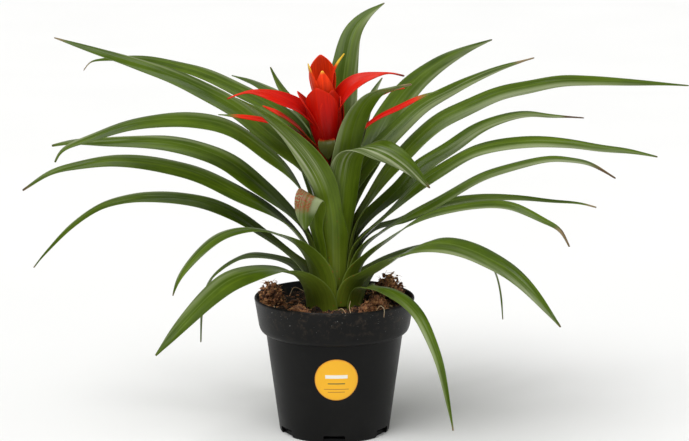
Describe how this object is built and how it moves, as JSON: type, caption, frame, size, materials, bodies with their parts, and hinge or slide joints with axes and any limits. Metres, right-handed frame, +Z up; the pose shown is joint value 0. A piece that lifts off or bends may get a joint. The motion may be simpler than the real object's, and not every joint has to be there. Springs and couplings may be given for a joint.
{
  "type": "potted bromeliad",
  "caption": "Flowering bromeliad in a round black nursery pot: a rosette of long arching strap leaves round a red flower head, with soil and coconut fibre.",
  "frame": {"origin": "on the pot's axis, on the surface that the pot stands on", "axes": "+Z up along the pot's axis; +X to the right of the plant's best side, along its longest extent; +Y away from the viewer of that side"},
  "size_m": [0.5282, 0.4064, 0.3365],
  "materials": {
    "pot": "satin black moulded plastic, dusted with soil near the rim",
    "label": "smooth coated paper label, yellow over a darker band",
    "soil": "dark crumbly peat with bark chips",
    "coir": "dry reddish-brown coconut fibre",
    "stem": "smooth pale green stalk",
    "leaf": "smooth green leaf with a soft waxy sheen, fine veins and pale underside",
    "bract": "smooth waxy red, with yellow and green tips"
  },
  "bodies": {
    "root": {"pot": "pot", "sticker": "label", "soil": "soil", "coir_tuft_left": "coir", "coir_tuft_back_right": "coir", "coir_tuft_front_right": "coir", "coir_tuft_front_left": "coir", "stem": "stem", "leaf_left_1": "leaf", "leaf_left_2": "leaf", "leaf_left_3": "leaf", "leaf_left_4": "leaf", "leaf_left_5": "leaf", "leaf_left_6": "leaf", "leaf_left_7": "leaf", "leaf_left_8": "leaf", "leaf_left_9": "leaf", "leaf_left_10": "leaf", "leaf_right_1": "leaf", "leaf_right_2": "leaf", "leaf_right_3": "leaf", "leaf_right_4": "leaf", "leaf_right_5": "leaf", "leaf_right_6": "leaf", "leaf_right_7": "leaf", "leaf_right_8": "leaf", "leaf_right_9": "leaf", "leaf_right_10": "leaf", "leaf_right_11": "leaf", "leaf_right_12": "leaf", "leaf_front_folded": "leaf", "leaf_front_left": "leaf", "leaf_front_bent": "leaf", "leaf_front_right": "leaf", "leaf_back_tall": "leaf", "leaf_back_short": "leaf", "leaf_back_1": "leaf", "leaf_back_2": "leaf", "bloom": "bract"}
  },
  "joints": []
}
